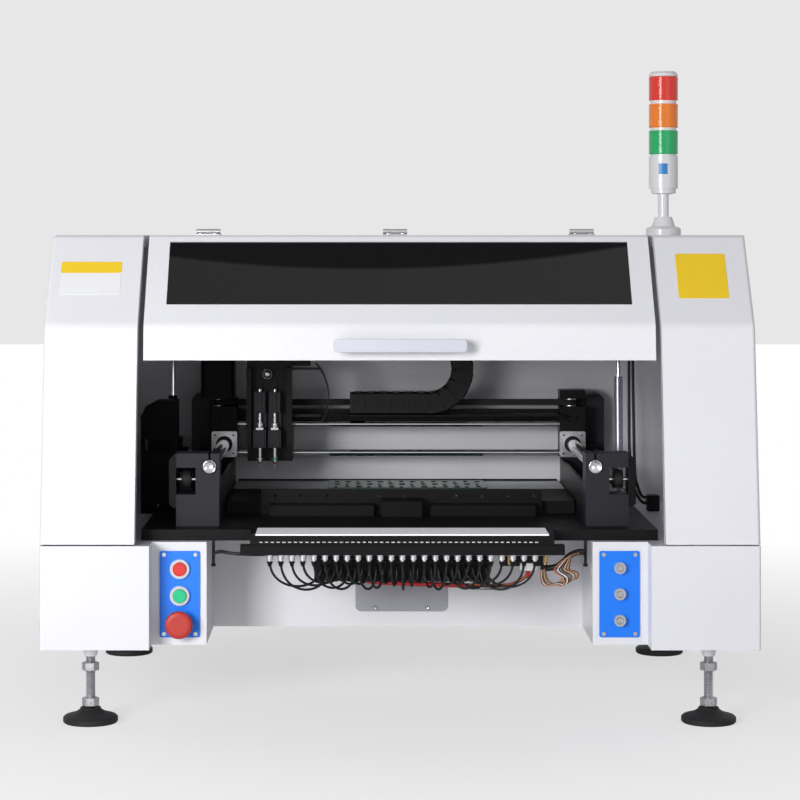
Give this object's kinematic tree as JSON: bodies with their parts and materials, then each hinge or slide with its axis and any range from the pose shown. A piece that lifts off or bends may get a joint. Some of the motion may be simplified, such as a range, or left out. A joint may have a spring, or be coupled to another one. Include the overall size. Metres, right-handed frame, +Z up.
{
  "type": "desktop pick and place machine",
  "caption": "Desktop pick and place machine: lift-up smoked hood over a belt gantry and nozzle head, push feeders, control panels, signal tower and levelling feet.",
  "frame": {"origin": "middle of the outline on the floor, under the four foot pads", "axes": "+X to the right seen from the front, +Y from the front to the back, +Z up"},
  "size_m": [1.04, 0.7, 0.99],
  "materials": {
    "white_paint": "satin powder coat",
    "grey_paint": "satin powder coat",
    "black_anodised": "matte black anodised",
    "charcoal_anodised": "matte dark anodised",
    "polished_steel": "ground and hard-chromed",
    "bright_steel": "bright",
    "silver_aluminium": "clear anodised",
    "black_rubber": "matte",
    "black_plastic": "fine texture",
    "cable_black": "soft sheath",
    "blue_plate": "semi-gloss",
    "red_plastic": "gloss",
    "green_plastic": "gloss",
    "estop_red": "satin",
    "lens_plastic": "ribbed lens",
    "white_plastic": "gloss",
    "smoked_acrylic": "smoked",
    "handle_metal": "satin anodised"
  },
  "bodies": {
    "root": {"base_housing": "white_paint", "side_cover_left": "white_paint", "side_cover_right": "white_paint", "top_plate": "white_paint", "rear_panel": "white_paint", "inner_rear_wall": "grey_paint", "bed_plate": "black_anodised", "shaft_blocks": "charcoal_anodised", "steel_shafts": "polished_steel", "rail_walls": "charcoal_anodised", "y_belts": "black_rubber", "y_motor": "black_plastic", "board_platform": "grey_paint", "feeder_blocks": "black_anodised", "tape_guides": "silver_aluminium", "front_bar": "black_anodised", "solenoids": "bright_steel", "wiring": "cable_black", "cable_fittings": "black_plastic", "access_cover": "grey_paint", "panel_plates": "blue_plate", "panel_fittings": "bright_steel", "foot_pads": "black_rubber", "foot_studs": "bright_steel", "foot_nuts": "bright_steel", "tower_mast": "white_plastic", "tower_lenses": "lens_plastic", "hinge_leaves": "bright_steel", "strut_brackets": "bright_steel"},
    "hood": {"hood_shell": "white_paint", "hood_window": "smoked_acrylic", "hood_handle": "handle_metal", "hood_hinge_leaves": "bright_steel"},
    "strut_cylinders": {"strut_cylinders": "black_plastic"},
    "strut_rods": {"strut_rods": "polished_steel"},
    "y_idlers": {"y_idlers": "black_plastic"},
    "y_drive_shaft": {"y_drive_shaft": "bright_steel"},
    "gantry": {"carriage_left": "charcoal_anodised", "carriage_right": "charcoal_anodised", "y_bearings": "bright_steel", "x_beam": "black_anodised", "x_rods": "polished_steel", "x_motor": "black_plastic", "x_belt": "black_rubber", "chain_lower_run": "black_plastic"},
    "x_drive_pulley": {"x_drive_pulley": "silver_aluminium"},
    "x_idler_pulley": {"x_idler_pulley": "silver_aluminium"},
    "chain_bend": {"chain_bend": "black_plastic", "chain_upper_run": "black_plastic"},
    "head": {"head_plate": "charcoal_anodised", "head_cover": "black_plastic", "z_motor": "black_plastic"},
    "z_pulley": {"z_pulley": "silver_aluminium"},
    "nozzle_left": {"nozzle_left": "charcoal_anodised"},
    "nozzle_right": {"nozzle_right": "charcoal_anodised"},
    "spindle_left": {"spindle_left": "bright_steel"},
    "spindle_right": {"spindle_right": "bright_steel"},
    "red_button": {"red_button": "red_plastic"},
    "green_button": {"green_button": "green_plastic"},
    "estop_button": {"estop_button": "estop_red"}
  },
  "joints": [
    {"name": "hood_hinge", "type": "hinge", "parent": "root", "child": "hood", "pos_m": [0, 0.19, 0.718], "axis": [-1, 0, 0], "range_deg": [0, 70]},
    {"name": "strut_swing", "type": "hinge", "parent": "root", "child": "strut_cylinders", "pos_m": [0, 0.12, 0.3], "axis": [1, 0, 0], "range_deg": [0, 1]},
    {"name": "strut_stroke", "type": "slide", "parent": "strut_cylinders", "child": "strut_rods", "axis": [0, 0.066, 0.9978], "range_m": [0, 0.055]},
    {"name": "y_slide", "type": "slide", "parent": "root", "child": "gantry", "axis": [0, 1, 0], "range_m": [-0.33, 0]},
    {"name": "y_idler_spin", "type": "hinge", "parent": "root", "child": "y_idlers", "pos_m": [0, -0.222, 0.348], "axis": [1, 0, 0], "range_deg": [-10, 1600]},
    {"name": "y_drive_spin", "type": "hinge", "parent": "root", "child": "y_drive_shaft", "pos_m": [0, 0.209, 0.348], "axis": [1, 0, 0], "range_deg": [-10, 1600]},
    {"name": "x_slide", "type": "slide", "parent": "gantry", "child": "head", "axis": [1, 0, 0], "range_m": [0, 0.4]},
    {"name": "x_drive_spin", "type": "hinge", "parent": "gantry", "child": "x_drive_pulley", "pos_m": [-0.292, 0.164, 0.4365], "axis": [0, 0, 1], "range_deg": [-10, 2900]},
    {"name": "x_idler_spin", "type": "hinge", "parent": "gantry", "child": "x_idler_pulley", "pos_m": [0.289, 0.164, 0.4365], "axis": [0, 0, 1], "range_deg": [-10, 2900]},
    {"name": "chain_roll", "type": "slide", "parent": "gantry", "child": "chain_bend", "axis": [1, 0, 0], "range_m": [0, 0.2], "deforming": ["chain_upper_run", "chain_lower_run"]},
    {"name": "z_pulley_spin", "type": "hinge", "parent": "head", "child": "z_pulley", "pos_m": [-0.2076, 0.072, 0.488], "axis": [0, 1, 0], "range_deg": [-116, 116]},
    {"name": "nozzle_left_slide", "type": "slide", "parent": "head", "child": "nozzle_left", "axis": [0, 0, 1], "range_m": [-0.015, 0.015]},
    {"name": "nozzle_right_slide", "type": "slide", "parent": "head", "child": "nozzle_right", "axis": [0, 0, 1], "range_m": [-0.015, 0.015]},
    {"name": "spindle_left_turn", "type": "hinge", "parent": "nozzle_left", "child": "spindle_left", "pos_m": [-0.2196, 0.066, 0.4], "axis": [0, 0, 1], "continuous": true},
    {"name": "spindle_right_turn", "type": "hinge", "parent": "nozzle_right", "child": "spindle_right", "pos_m": [-0.1956, 0.066, 0.4], "axis": [0, 0, 1], "continuous": true},
    {"name": "red_button_press", "type": "slide", "parent": "root", "child": "red_button", "axis": [0, 1, 0], "range_m": [0, 0.004], "stiffness_N_per_m": 400},
    {"name": "green_button_press", "type": "slide", "parent": "root", "child": "green_button", "axis": [0, 1, 0], "range_m": [0, 0.004], "stiffness_N_per_m": 400},
    {"name": "estop_press", "type": "slide", "parent": "root", "child": "estop_button", "axis": [0, 1, 0], "range_m": [0, 0.005], "stiffness_N_per_m": 600}
  ],
  "couplings": [
    {"joint": "strut_swing", "follows": "hood_hinge", "ratio": 0.002},
    {"joint": "strut_stroke", "follows": "hood_hinge", "m_per_rad": 0.043381},
    {"joint": "y_idler_spin", "follows": "y_slide", "rad_per_m": -83.333},
    {"joint": "y_drive_spin", "follows": "y_slide", "rad_per_m": -83.333},
    {"joint": "x_drive_spin", "follows": "x_slide", "rad_per_m": 125},
    {"joint": "x_idler_spin", "follows": "x_slide", "rad_per_m": 125},
    {"joint": "chain_roll", "follows": "x_slide", "ratio": 0.5},
    {"joint": "z_pulley_spin", "follows": "nozzle_left_slide", "rad_per_m": 133.33},
    {"joint": "nozzle_right_slide", "follows": "nozzle_left_slide", "ratio": -1}
  ]
}
